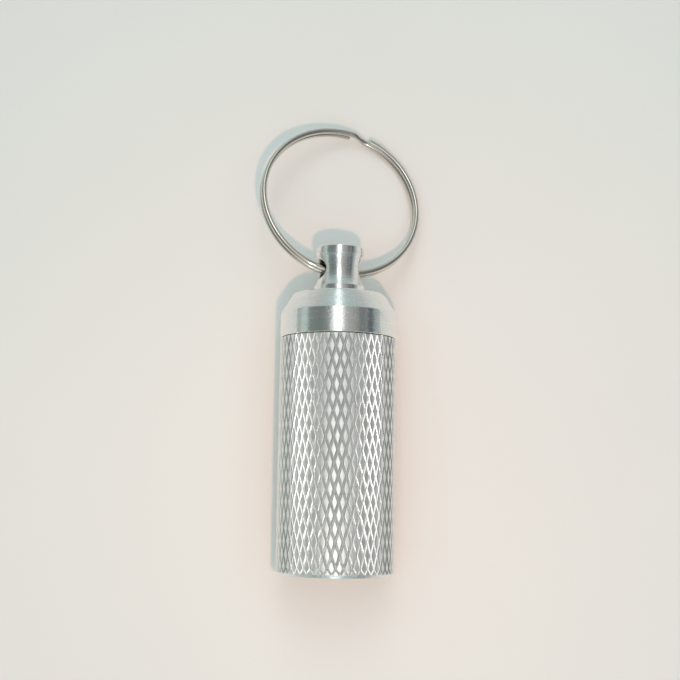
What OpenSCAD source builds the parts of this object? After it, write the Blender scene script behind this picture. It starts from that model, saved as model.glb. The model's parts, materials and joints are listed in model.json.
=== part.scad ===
// Knurled tube with a screw cap and a split ring, lying on its side.
// The tube's axis runs along +Y, towards the ring, and +Z is up.
// All sizes are in millimetres.

/* [Tube] */
// Diameter over the tops of the knurl, and of the cap's band
body_d = 17.3; // [15:0.1:24]
// Length of the tube, from its base to the seam
tube_len = 34.7; // [22:0.1:70]
// Thickness of the wall round the pill space, over the knurl
wall_t = 1.75; // [1.6:0.05:3]
// Thickness of the tube's closed end
floor_t = 1.6; // [1:0.1:3]
// Radius of the corner between the pill space and its floor
floor_fillet = 1; // [0.4:0.1:2]
// Height of the bevel round the base
base_bevel = 0.5; // [0.3:0.05:1]
// Width of the dark line between the knurl and the cap
seam_gap = 0.12; // [0.05:0.01:0.4]

/* [Knurl] */
// Width of one diamond, round the tube
knurl_pitch = 1.09; // [0.9:0.01:2]
// Length of one diamond, along the tube
knurl_len_pitch = 3.79; // [2.6:0.01:6]
// Depth of the grooves
knurl_depth = 0.2; // [0.1:0.01:0.3]
// Share of a diamond that stays flat on top
knurl_flat = 0.57; // [0.2:0.01:0.8]
// Sideways drift of the pattern over one diamond's length, as a share of its width
knurl_drift = 0.0986; // [-0.3:0.0001:0.3]
// Angle from the top of the tube to a crossing of two grooves, at the base
knurl_start = 0.2; // [-7:0.1:7]

/* [Cap] */
// Height of the cap's plain band
band_len = 3.65; // [2:0.05:8]
// Height of the sloping shoulder
shoulder_len = 2.95; // [1:0.05:6]
// How far the shoulder slopes in
shoulder_in = 1.75; // [0.8:0.05:3]
// Bevel on the band's lower edge and on the shoulder's top edge
cap_edge = 0.12; // [0.05:0.01:0.3]

/* [Neck] */
// Height of the neck over the shoulder
neck_len = 7.3; // [6:0.1:12]
// Diameter of the neck's foot
neck_foot_d = 7.6; // [7:0.1:8.8]
// Height of the neck's foot
neck_foot_len = 1.2; // [0.5:0.1:1.5]
// Diameter of the neck's rim
neck_rim_d = 7.15; // [6.7:0.05:8.5]
// Height of the neck's rim
neck_rim_len = 1.3; // [0.5:0.1:1.6]
// Diameter at the neck's waist
neck_waist_d = 6.1; // [5.4:0.1:6.5]
// Bevel round the end of the neck
neck_edge = 0.25; // [0.1:0.05:0.5]
// Room in the hole across the neck, beside the ring's two turns
hole_spare = 1.06; // [0.8:0.02:1.2]
// Turn of the cap on the tube that lifts the hole's left mouth
cap_clock = 17.5; // [0:0.5:25]

/* [Spigot and seal] */
// Thickness of the tube's wall round the spigot, over the knurl
mouth_wall = 1.35; // [1.25:0.05:1.55]
// Length of the spigot under the band
spigot_len = 7.2; // [5:0.1:10]
// Bevel on the spigot's lower edge
spigot_edge = 0.5; // [0.2:0.1:1]
// Depth of the dish turned into the spigot's end
dish_depth = 1.2; // [0.4:0.1:2]
// Width of the spigot's end outside the dish
dish_rim = 2.7; // [2.2:0.1:4]
// Radial clearance between the spigot and the tube's mouth
spigot_clearance = 0.1; // [0.02:0.01:0.2]
// Depth of the tube's mouth past the end of the spigot
mouth_spare = 0.8; // [0.3:0.1:2]
// Bevel inside the tube's mouth
mouth_edge = 0.3; // [0.1:0.05:0.35]
// Thickness of the seal's round section
seal_section = 1.2; // [1:0.05:1.5]
// Distance from the band down to the seal's groove
seal_offset = 0.4; // [0.2:0.05:1]
// Clearance of the seal in its groove and in the mouth
seal_clearance = 0.04; // [0.01:0.01:0.1]

/* [Split ring] */
// Outer diameter of the ring
ring_d = 25.4; // [25:0.1:32]
// Thickness of the ring's round wire
wire_d = 0.9; // [0.7:0.05:1]
// Gap between the ring's two turns
turn_gap = 0.04; // [0.02:0.01:0.1]
// Clearance between the wire and the wall of the hole
ring_play = 0.25; // [0.1:0.01:0.35]
// Place of the ring's split, turned from the hole's right mouth
split_angle = 74; // [30:1:150]
// Length of the step from one turn to the other, as an angle
step_angle = 12; // [10:1:40]
// Gap between a wire's end and the step, as an angle
end_gap = 1; // [0.5:0.5:5]
// Height of the resting ring's lowest point over the surface
rest_gap = 0.02; // [0.01:0.01:0.1]

/* [Hidden] */

body_r = body_d / 2;

// The knurl's whole numbers of diamonds, and its pitches as they fit the tube
knurl_span = tube_len - base_bevel - seam_gap;
knurl_cols = round(PI * body_d / knurl_pitch);
knurl_rows = round(knurl_span / knurl_len_pitch);
col_angle = 360 / knurl_cols;
half_row = knurl_span / (2 * knurl_rows);
groove_r = body_r - knurl_depth;
// A flat top's corners lie on the body's diameter, so its middle lies a little inside
top_r = body_r * cos(col_angle * knurl_flat / 2);
// The knurl is a sleeve, rooted in the wall of a core that lies a little under the grooves
core_gap = 0.25;
root_depth = 0.4;
core_r = groove_r - core_gap;
sleeve_in_r = core_r - root_depth;
// The bevel round the base stops just under the grooves, and slopes in by this much
bevel_step = 0.01;
bevel_in = 0.2;
bevel_r = groove_r - bevel_step;

// The spigot, the seal's groove and the seal follow the mouth of the tube
cavity_r = body_r - wall_t;
mouth_r = body_r - mouth_wall;
mouth_depth = spigot_len + mouth_spare;
spigot_r = mouth_r - spigot_clearance;
dish_r = spigot_r - dish_rim;
seal_r = seal_section / 2;
seal_mid_r = mouth_r - seal_clearance - seal_r;
seal_y = tube_len - seal_offset - seal_clearance - seal_r;
groove_half = seal_r + seal_clearance;
groove_floor_r = seal_mid_r - seal_r - seal_clearance;

// Stations along the axis, from the base
shoulder_y = tube_len + band_len;
neck_y = shoulder_y + shoulder_len;
end_y = neck_y + neck_len;
shoulder_r = body_r - shoulder_in;

// The waist is one arc from the foot's edge to the rim's edge, and the hole crosses
// it where it is narrowest
rim_drop = (neck_rim_d - neck_waist_d) / 2;
foot_drop = (neck_foot_d - neck_waist_d) / 2;
waist_len = neck_len - neck_foot_len - neck_rim_len;
waist_c = waist_len * waist_len - rim_drop * foot_drop + foot_drop * foot_drop;
waist_a = 1 - foot_drop / rim_drop;
waist_run = waist_c / (waist_len + sqrt(waist_len * waist_len - waist_a * waist_c));
waist_arc = (waist_run * waist_run + rim_drop * rim_drop) / (2 * rim_drop);
hole_y = end_y - neck_rim_len - waist_run;

// The ring's plane holds the hole's axis, and droops until its wire meets the surface
wire_r = wire_d / 2;
ring_r = ring_d / 2 - wire_r;
turn_half = (wire_d + turn_gap) / 2;
hole_r = turn_half + wire_r + hole_spare / 2;
// How far the wire lies off the hole's axis, towards the shoulder
wire_offset = sqrt(pow(hole_r - ring_play - wire_r, 2) - turn_half * turn_half);
ring_reach = ring_r - wire_offset;
// How far the ring sits along the hole, so that it lies centred over the tube
function ring_side(droop) = ring_reach * sin(droop) * tan(cap_clock);
function ring_low(droop) =
    body_r - ring_side(droop) * sin(cap_clock)
    - ring_reach * sin(droop) * cos(cap_clock)
    - ring_r * sqrt(1 - pow(cos(cap_clock) * cos(droop), 2))
    - turn_half * cos(cap_clock) * cos(droop) - wire_r;
function settle(low, high, tries) =
    let (mid = (low + high) / 2)
    tries == 0 ? mid
    : ring_low(mid) > rest_gap ? settle(mid, high, tries - 1)
    : settle(low, mid, tries - 1);
ring_droop = settle(0, 60, 30);

// Directions along the hole, along the drooping ring, and square to the ring
hole_dir = [cos(cap_clock), 0, -sin(cap_clock)];
reach_dir = [
    -sin(ring_droop) * sin(cap_clock),
    cos(ring_droop),
    -sin(ring_droop) * cos(cap_clock)
];
ring_normal = cross(hole_dir, reach_dir);

// The whole part is centred on the origin along Y
overall_len = hole_y + (ring_reach + ring_r) * cos(ring_droop)
    + turn_half * sin(ring_droop) + wire_r;
base_y = -overall_len / 2;
hole_pos = [0, base_y + hole_y, body_r];
ring_pos = hole_pos + ring_side(ring_droop) * hole_dir + ring_reach * reach_dir;

echo(base_y = base_y, seam_y = base_y + tube_len, hole = hole_pos, droop = ring_droop);
echo(ring_centre = ring_pos, hole_dir = hole_dir, reach_dir = reach_dir, axis_z = body_r);
echo(overall = overall_len, cols = knurl_cols, rows = knurl_rows, low = ring_low(ring_droop));

// Stands what is drawn upright round Z along the tube's axis instead, base first
module along_axis() {
    translate([0, base_y, body_r])
        rotate([-90, 0, 0])
            children();
}

// A point of the knurl, given in diamonds round the tube, half rows along it, and a radius
function knurl_point(col, row, r) =
    let (
        drift = knurl_drift * col_angle * row / 2,
        a = knurl_start - 90 + col * col_angle - drift
    )
    [r * cos(a), r * sin(a), base_bevel + row * half_row];

// A corner of a diamond's flat top, which lies in one plane touching the body
function top_point(col, row, d_col, d_row) =
    let (away = d_col * col_angle - knurl_drift * col_angle * d_row / 2)
    knurl_point(col + d_col, row + d_row, top_r / cos(away));

// The eight points of the diamond round (col, row): four groove crossings and its top
function diamond_points(col, row) = [
    knurl_point(col, row - 1, groove_r),
    knurl_point(col + 0.5, row, groove_r),
    knurl_point(col, row + 1, groove_r),
    knurl_point(col - 0.5, row, groove_r),
    top_point(col, row, 0, -knurl_flat),
    top_point(col, row, knurl_flat / 2, 0),
    top_point(col, row, 0, knurl_flat),
    top_point(col, row, -knurl_flat / 2, 0)
];

// Triangles of a whole diamond whose first point has index k, seen from outside
function diamond_faces(k) = concat(
    [[k + 4, k + 7, k + 6], [k + 4, k + 6, k + 5]],
    [for (i = [0:3]) let (n = (i + 1) % 4) each [
        [k + i, k + 4 + i, k + 4 + n],
        [k + i, k + 4 + n, k + n]
    ]]
);

// A diamond cut through its middle by an end of the knurl, and its closing points:
// way is 1 at the base, where the upper half is left, and -1 at the seam
function half_points(col, row, way) = [
    knurl_point(col - 0.5, row, groove_r),
    top_point(col, row, -knurl_flat / 2, 0),
    top_point(col, row, knurl_flat / 2, 0),
    knurl_point(col + 0.5, row, groove_r),
    knurl_point(col, row + way, groove_r),
    top_point(col, row, 0, knurl_flat * way),
    knurl_point(col - 0.5, row, sleeve_in_r),
    knurl_point(col + 0.5, row, sleeve_in_r)
];

function half_faces(k, way) =
    let (faces = [
        [k, k + 5, k + 1],
        [k, k + 4, k + 5],
        [k + 1, k + 5, k + 2],
        [k + 3, k + 2, k + 5],
        [k + 3, k + 5, k + 4],
        [k, k + 1, k + 6],
        [k + 1, k + 2, k + 7],
        [k + 1, k + 7, k + 6],
        [k + 2, k + 3, k + 7]
    ])
    way > 0 ? faces : [for (f = faces) [f[0], f[2], f[1]]];

// Two diamonds cross in each length of the knurl, so the even rows sit half a column on
function col_shift(row) = (row + 1) % 2 / 2;

// The knurl's sleeve: whole diamonds, cut ones at both ends, and a plain inner wall
module knurl_sleeve() {
    last = 2 * knurl_rows;
    cells = [for (row = [1:last - 1]) for (i = [0:knurl_cols - 1]) [i + col_shift(row), row]];
    ends = [for (end = [0, 1]) for (i = [0:knurl_cols - 1]) [i + 0.5, end]];
    whole = [for (c = cells) each diamond_points(c[0], c[1])];
    halves = [for (c = ends) each half_points(c[0], c[1] * last, 1 - 2 * c[1])];
    first = len(whole);
    // Points in each diamond, whole or cut
    each_count = len(diamond_points(0, 0));
    whole_faces = [for (i = [0:len(cells) - 1]) each diamond_faces(each_count * i)];
    half_face_list = [
        for (i = [0:len(ends) - 1])
            each half_faces(first + each_count * i, 1 - 2 * ends[i][1])
    ];
    // The inner wall joins the inner points of the two ends
    inner = [
        for (i = [0:knurl_cols - 1])
        let (
            b = first + each_count * (i + 1) - 1,
            a = b - 1,
            d = b + each_count * knurl_cols,
            c = d - 1
        )
        each [[a, b, d], [a, d, c]]
    ];
    polyhedron(
        points = concat(whole, halves),
        faces = concat(whole_faces, half_face_list, inner),
        convexity = 10
    );
}

// The tube's core: its wall, base and bevel, without the knurl
module tube_core() {
    cylinder(h = tube_len, r = core_r, $fn = 128);
    cylinder(h = base_bevel, r1 = bevel_r - bevel_in, r2 = bevel_r, $fn = 128);
    translate([0, 0, base_bevel])
        cylinder(h = root_depth, r = bevel_r, $fn = 128);
}

// The space inside the tube: the wide mouth, then the pill space with a rounded floor
module tube_space() {
    over = 1;
    rotate_extrude($fn = 128) {
        translate([0, tube_len - mouth_depth])
            square([mouth_r, mouth_depth + over]);
        translate([0, floor_t + floor_fillet])
            square([cavity_r, tube_len - floor_t - floor_fillet]);
        translate([0, floor_t])
            square([cavity_r - floor_fillet, floor_fillet + over]);
        translate([cavity_r - floor_fillet, floor_t + floor_fillet])
            circle(r = floor_fillet, $fn = 64);
    }
    translate([0, 0, tube_len - mouth_edge])
        cylinder(h = mouth_edge + over, r1 = mouth_r, r2 = mouth_r + mouth_edge + over, $fn = 128);
}

// The tube: one turned and knurled piece, open at the cap's end
module tube() {
    color([0.68, 0.71, 0.70])
        along_axis()
            difference() {
                union() {
                    tube_core();
                    knurl_sleeve();
                }
                tube_space();
            }
}

// The cap's turned outline, from the end of the spigot to the end of the neck
module cap_outline() {
    low = tube_len - spigot_len;
    polygon([
        [0, low],
        [spigot_r - spigot_edge, low],
        [spigot_r, low + spigot_edge],
        [spigot_r, seal_y - groove_half],
        [groove_floor_r, seal_y - groove_half],
        [groove_floor_r, seal_y + groove_half],
        [spigot_r, seal_y + groove_half],
        [spigot_r, tube_len],
        [body_r - cap_edge, tube_len],
        [body_r, tube_len + cap_edge],
        [body_r, shoulder_y],
        [shoulder_r, neck_y - cap_edge],
        [shoulder_r - cap_edge, neck_y],
        [neck_foot_d / 2, neck_y],
        [neck_foot_d / 2, neck_y + neck_foot_len],
        [neck_rim_d / 2, end_y - neck_rim_len],
        [neck_rim_d / 2, end_y - neck_edge],
        [neck_rim_d / 2 - neck_edge, end_y],
        [0, end_y]
    ]);
}

// The dish in the spigot's end, with a sloping wall
module dish() {
    translate([0, 0, tube_len - spigot_len])
        cylinder(h = dish_depth, r1 = dish_r, r2 = dish_r - dish_depth / 2, $fn = 96);
}

// The hole across the neck, for the ring
module cross_hole() {
    rotate([0, 90, 0])
        cylinder(h = 2 * neck_foot_d, r = hole_r, center = true, $fn = 64);
}

// The cap: band, shoulder, waisted neck with the cross hole, and the spigot
module cap() {
    color([0.78, 0.80, 0.79])
        along_axis()
            difference() {
                rotate_extrude($fn = 128)
                    difference() {
                        cap_outline();
                        translate([neck_waist_d / 2 + waist_arc, hole_y])
                            circle(r = waist_arc, $fn = 128);
                    }
                translate([0, 0, hole_y])
                    rotate([0, 0, cap_clock])
                        cross_hole();
                dish();
            }
}

// The seal: a rubber ring in the spigot's groove
module o_ring() {
    color([0.08, 0.08, 0.08])
        along_axis()
            translate([0, 0, seal_y])
                rotate_extrude($fn = 128)
                    translate([seal_mid_r, 0])
                        circle(r = seal_r, $fn = 48);
}

// Height of the wire over the ring's middle plane, at angle a along its two turns:
// the lower turn, a smooth step, and the upper turn
function wire_lift(a) =
    let (t = min(1, max(0, (a - 360 + step_angle / 2) / step_angle)))
    turn_half * (-cos(180 * t));

// A point of the wire's surface, at angle a along the turns and b round the section
function wire_point(a, b) =
    let (
        r = ring_r + wire_r * cos(b),
        turn = split_angle + a
    )
    ring_pos
    + r * cos(turn) * hole_dir
    + r * sin(turn) * reach_dir
    + (wire_lift(a) + wire_r * sin(b)) * ring_normal;

// The split ring: one wire of two turns, swept from end to end
module split_ring() {
    sides = 12;
    start = step_angle / 2 + end_gap;
    turn_sweep = 360 - start - step_angle / 2;
    // The turns go in even steps, and the crossing between them in shorter ones
    turn_step = 7.5;
    cross_step = 2;
    turn_count = ceil(turn_sweep / turn_step);
    cross_count = ceil(step_angle / cross_step);
    angles = concat(
        [for (i = [0:turn_count - 1]) start + turn_sweep * i / turn_count],
        [for (i = [0:cross_count - 1]) 360 + step_angle * (i / cross_count - 0.5)],
        [for (i = [0:turn_count]) 360 + step_angle / 2 + turn_sweep * i / turn_count]
    );
    steps = len(angles) - 1;
    points = [
        for (a = angles) for (k = [0:sides - 1])
            wire_point(a, 360 * k / sides)
    ];
    skin = [
        for (i = [0:steps - 1]) for (k = [0:sides - 1])
        let (a = i * sides + k, b = i * sides + (k + 1) % sides)
        each [[a, a + sides, b + sides], [a, b + sides, b]]
    ];
    near_end = [for (k = [1:sides - 2]) [0, k, k + 1]];
    last = steps * sides;
    far_end = [for (k = [1:sides - 2]) [last, last + k + 1, last + k]];
    color([0.62, 0.61, 0.58])
        polyhedron(points = points, faces = concat(skin, near_end, far_end), convexity = 6);
}

tube();
cap();
o_ring();
split_ring();
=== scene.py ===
"""Dresses the knurled pill fob: tube, screw cap, seal and split ring.

Lengths are millimetres in the fob's own axes, unless a name or a comment says metres:
x to the right, y along the tube from its closed end, z up from the tube's axis.
An angle round the axis is measured from straight up towards +x.
"""
import json
import logging
import math
from dataclasses import dataclass, field
from enum import Enum
from functools import reduce

import bmesh
import bpy
import numpy as np
from mathutils import Matrix, Vector


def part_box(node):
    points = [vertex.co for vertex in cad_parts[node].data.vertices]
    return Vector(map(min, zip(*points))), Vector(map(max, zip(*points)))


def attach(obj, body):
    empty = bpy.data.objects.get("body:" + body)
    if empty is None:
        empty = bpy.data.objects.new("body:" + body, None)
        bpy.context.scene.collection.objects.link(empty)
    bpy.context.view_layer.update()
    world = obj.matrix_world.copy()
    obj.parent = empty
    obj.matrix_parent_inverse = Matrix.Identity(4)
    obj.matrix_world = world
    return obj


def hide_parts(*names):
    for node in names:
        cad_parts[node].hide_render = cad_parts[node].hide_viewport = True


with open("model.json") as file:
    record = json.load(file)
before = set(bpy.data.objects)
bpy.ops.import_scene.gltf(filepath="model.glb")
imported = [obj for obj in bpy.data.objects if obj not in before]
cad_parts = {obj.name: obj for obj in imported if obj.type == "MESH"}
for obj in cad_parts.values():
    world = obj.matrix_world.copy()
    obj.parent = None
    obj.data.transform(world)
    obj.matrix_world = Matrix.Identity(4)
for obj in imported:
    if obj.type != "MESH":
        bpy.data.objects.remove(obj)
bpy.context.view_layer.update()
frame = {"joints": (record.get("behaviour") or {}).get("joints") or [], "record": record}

logging.basicConfig(level=logging.INFO, format="%(message)s")
log = logging.getLogger("fob")

MM = 0.001
FULL_TURN = 2 * math.pi
# Points closer than this are welded, in metres.
WELD = 1e-7
# Two lengths or heights closer than this are the same.
SAME = 1e-9
# The least divisor, and how far off a radius may be, in millimetres.
TINY = 1e-4
# Where most of a noise pattern's values lie.
NOISE_BAND = (0.3, 0.7)

Colour = tuple[float, float, float]
Band = tuple[float, float]
Tone = tuple[float, Colour]
Amount = float | bpy.types.NodeSocket
Paint = Colour | bpy.types.NodeSocket
Found = dict[str, bpy.types.NodeSocket]
Way = bpy.types.bpy_prop_collection


class Body(Enum):
    """The moving bodies that pieces ride on."""

    TUBE = "tube"
    SEAL = "seal"
    CAP = "cap"
    RING = "ring"


class Mark(Enum):
    """Values kept on each point of a piece, for its material to read.

    A groove's bottom, a rounded edge, the tube's faced end and a gap with painted shade are 1.
    """

    GROOVE = "groove"
    EDGE = "edge"
    TURNED = "turned"
    # Painted shade: darkens the seam's gap and the cross hole's lip and wall, where shade falls.
    GRIME = "grime"


@dataclass(frozen=True)
class Axes:
    """Where the tube's axis lies in the frame, in metres."""

    base_y: float
    axis_z: float

    @classmethod
    def from_frame(cls) -> "Axes":
        """Reads the closed end from the tube's box, and the axis from the cap's.

        Returns:
            The axes.
        """
        tube_low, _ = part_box("tube")
        cap_low, cap_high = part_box("cap")
        return cls(tube_low.y, (cap_low.z + cap_high.z) / 2)

    def place(self, points: np.ndarray) -> np.ndarray:
        """Turns the fob's millimetres into the frame's metres.

        Args:
            points: rows of x, y, z from the closed end on the axis.

        Returns:
            MM (x, y, z) + (0, base_y, axis_z), row by row.
        """
        return points * MM + np.array([0.0, self.base_y, self.axis_z])


@dataclass(frozen=True)
class Fits:
    """Sizes that the tube, the cap and the seal share."""

    body_r: float = 8.65
    tube_len: float = 34.7
    mouth_r: float = 7.3
    cavity_r: float = 6.9
    spigot_r: float = 7.2
    seal_wire_r: float = 0.6
    seal_ring_r: float = 6.66
    seal_back: float = 1.04
    thread_lead: float = 1.0
    thread_root_r: float = 6.8
    thread_near: float = 2.25
    thread_far: float = 7.1
    thread_clearance: float = 0.09
    thread_root_half: float = 0.17
    thread_flank: float = 0.25

    def thread_radius(self, turn: np.ndarray) -> np.ndarray:
        """Radius of the outside thread at a phase p of its lead, from 0 to 1.

        It runs along the root in the middle of the lead, climbs a straight flank on both
        sides and stands at the crest between two leads, so
        r = root + depth * clip((|p - 1/2| - root_half) / flank, 0, 1).

        Args:
            turn: phase along the thread, in leads.

        Returns:
            The thread's radius at each phase.
        """
        phase = turn - np.floor(turn)
        rise = np.clip((np.abs(phase - 0.5) - self.thread_root_half) / self.thread_flank, 0.0, 1.0)
        return self.thread_root_r + (self.spigot_r - self.thread_root_r) * rise


@dataclass
class Sheet:
    """Points of one sheet, its faces as rows of point numbers, and its marks.

    Wanted normals, where given, are one for each corner of each face, in the faces' order.
    """

    points: np.ndarray
    faces: list[np.ndarray]
    marks: dict[Mark, np.ndarray] = field(default_factory=dict)
    normals: list[np.ndarray] | None = None

    def corner_normals(self) -> np.ndarray:
        """The wanted normals as rows, or rows of zeros where none are wanted."""
        wanted = self.normals or [np.zeros((*f.shape, 3)) for f in self.faces]
        return np.concatenate([n.reshape(-1, 3) for n in wanted])

    def turned(self, angle: float) -> "Sheet":
        """The sheet turned about the axis, towards +x.

        Args:
            angle: how far it turns, in radians.

        Returns:
            A sheet with x' = x cos a + z sin a and z' = z cos a - x sin a.
        """
        c, s = math.cos(angle), math.sin(angle)
        turn = np.array([[c, 0.0, -s], [0.0, 1.0, 0.0], [s, 0.0, c]])
        return Sheet(self.points @ turn, self.faces, self.marks)

    def mirrored(self) -> "Sheet":
        """The sheet mirrored in the plane x = 0, still facing outwards."""
        points = self.points * np.array([-1.0, 1.0, 1.0])
        return Sheet(points, [f[:, ::-1] for f in self.faces], self.marks)


def grid(points: np.ndarray, closed: bool = False, **marks: np.ndarray) -> Sheet:
    """Makes a sheet from a grid of points.

    A face joins (i, j), (i, j + 1), (i + 1, j + 1) and (i + 1, j). It faces outwards where
    j goes towards larger angles and i goes from the axis out, up the outside and back in.

    Args:
        points: rows by columns by 3.
        closed: whether the last column joins the first.
        marks: values for each point, by the mark's name.

    Returns:
        The sheet, of four-sided faces.
    """
    rows, columns = points.shape[:2]
    number = np.arange(rows * columns).reshape(rows, columns)
    if closed:
        number = np.concatenate([number, number[:, :1]], axis=1)
    faces = np.stack(
        [number[:-1, :-1], number[:-1, 1:], number[1:, 1:], number[1:, :-1]], axis=-1
    )
    kept = {Mark[name.upper()]: value.reshape(-1) for name, value in marks.items()}
    return Sheet(points.reshape(-1, 3), [faces.reshape(-1, 4)], kept)


def around(radius: np.ndarray, y: float | np.ndarray, angle: np.ndarray) -> np.ndarray:
    """Points round the axis: (r sin a, y, r cos a), with the arrays' shapes joined."""
    radius, y, angle = np.broadcast_arrays(radius, y, angle)
    return np.stack([radius * np.sin(angle), y, radius * np.cos(angle)], axis=-1)


def flat_ring(
    first_r: float | np.ndarray,
    last_r: float | np.ndarray,
    y: float,
    angles: np.ndarray,
    grime: Band = (0.0, 0.0),
) -> Sheet:
    """Joins two closed lines at one station, such as a circle and the knurl's end.

    Args:
        first_r: radius of the first line, at each angle.
        last_r: radius of the last line, at each angle.
        y: the station.
        angles: the columns' angles.
        grime: how much painted shade the first and the last line carry, from 0 to 1.

    Returns:
        The sheet between (r sin a, y, r cos a) for both radii.
    """
    radii = np.stack(np.broadcast_arrays(first_r, last_r))
    # The lines' painted shade, for darkening a gap where shade falls.
    shaded = np.repeat(np.array(grime)[:, None], len(angles), axis=1)
    return grid(around(radii, y, angles), closed=True, grime=shaded)


@dataclass(frozen=True)
class Corner:
    """One corner of a turned outline: its radius, its station, and its rounding."""

    r: float
    y: float
    round_by: float = 0.0


def outline(corners: list[Corner], bend_steps: int = 4) -> tuple[np.ndarray, np.ndarray]:
    """Rounds the corners of a turned outline.

    A rounded corner P is cut back by d along both sides, to A and B, and runs along
    (1 - t)^2 A + 2 t (1 - t) P + t^2 B, for t from 0 to 1.

    Args:
        corners: the outline's corners in order.
        bend_steps: steps along each rounded corner.

    Returns:
        The points as rows of radius and station, and how near an edge each one is, from
        0 on a plain stretch to 1 on a rounded corner.
    """
    p = np.array([[c.r, c.y] for c in corners])
    back = np.array([c.round_by for c in corners])[:, None]
    before = np.roll(p, 1, axis=0) - p
    after = np.roll(p, -1, axis=0) - p
    before /= np.maximum(np.linalg.norm(before, axis=1, keepdims=True), SAME)
    after /= np.maximum(np.linalg.norm(after, axis=1, keepdims=True), SAME)
    t = np.linspace(0.0, 1.0, bend_steps + 1)[None, :, None]
    a, b = (p + back * before)[:, None], (p + back * after)[:, None]
    bends = (1 - t) ** 2 * a + 2 * t * (1 - t) * p[:, None] + t**2 * b
    edge = np.repeat((back > 0).astype(float), bend_steps + 1, axis=1).reshape(-1)
    points = bends.reshape(-1, 2)
    step = np.linalg.norm(np.diff(points, axis=0), axis=1)
    kept = np.append(True, step > SAME)
    return points[kept], edge[kept]


def filled(points: np.ndarray, edge: np.ndarray, longest: float) -> tuple[np.ndarray, np.ndarray]:
    """Puts points into an outline's long stretches.

    Each stretch is cut into even steps no longer than asked, so its points lie at
    P + k (Q - P) / n.

    Args:
        points: rows of radius and station.
        edge: how near an edge each point is.
        longest: the longest step that may stay.

    Returns:
        The points and their edge values, with the new points marked 0.
    """
    span = np.linalg.norm(np.diff(points, axis=0), axis=1)
    counts = np.maximum(1, np.ceil(span / longest)).astype(int)
    start = np.repeat(np.arange(len(counts)), counts)
    k = np.arange(counts.sum()) - np.repeat(np.cumsum(counts) - counts, counts)
    share = (k / counts[start])[:, None]
    out = points[start] + share * (points[start + 1] - points[start])
    marks = np.where(k == 0, edge[start], 0.0)
    return np.vstack([out, points[-1:]]), np.append(marks, edge[-1])


def revolved(corners: list[Corner], angles: np.ndarray, longest: float = 1.2) -> Sheet:
    """Turns an outline about the axis.

    Args:
        corners: the outline's corners, from the axis out, up the outside and back in.
        angles: the columns' angles.
        longest: the longest step along a plain stretch.

    Returns:
        A closed sheet of r(t) and y(t) at each angle, marked with its edges.
    """
    points, edge = filled(*outline(corners), longest)
    placed = around(points[:, :1], points[:, 1:], angles[None, :])
    return grid(placed, closed=True, edge=np.repeat(edge[:, None], len(angles), axis=1))


def thread_sheet(
    fits: Fits, start: float, end: float, angles: np.ndarray, gap: float, plain_r: float
) -> Sheet:
    """A screw thread between two plain circles.

    Its rows climb one lead in a turn, y = y0 + s + lead a / 2 pi, and stop at both ends.
    The radius is the thread's own plus the gap, and fades into the plain circle's over
    half a lead at each end.

    Args:
        fits: the shared sizes.
        start: the station of the first circle.
        end: the station of the last circle, lower or higher than the first.
        angles: the columns' angles, over one turn.
        gap: how far outside the outside thread this surface lies.
        plain_r: radius of the circles at both ends.

    Returns:
        The thread's sheet, to be welded to the circles.
    """
    lead = fits.thread_lead
    low, high = min(start, end), max(start, end)
    root_at = fits.thread_root_half
    crest_at = root_at + fits.thread_flank
    phases = 0.5 + np.array([-0.5, -crest_at, -root_at, 0.0, root_at, crest_at])
    leads = np.arange(-2, math.ceil((high - low) / lead) + 1)
    rows = (leads[:, None] + phases[None, :]).reshape(-1)
    columns = np.append(angles, angles[0] + FULL_TURN)
    climb = (columns - columns[0]) / FULL_TURN
    offset = low / lead - columns[0] / FULL_TURN
    first = (np.ceil(offset) - offset) * lead
    y = low + first + (rows[:, None] + climb[None, :]) * lead
    y = np.clip(y, low, high)
    turn = y / lead - columns[None, :] / FULL_TURN
    fade = np.clip(np.minimum(y - low, high - y) / (0.5 * lead), 0.0, 1.0)
    fade = fade * fade * (3 - 2 * fade)
    r = plain_r + (fits.thread_radius(turn) + gap - plain_r) * fade
    if end < start:
        y, r = y[::-1], r[::-1]
    height = (r - fits.thread_root_r - gap) / (fits.spigot_r - fits.thread_root_r)
    return grid(around(r, y, columns[None, :]), groove=1 - np.clip(height, 0, 1))


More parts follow.
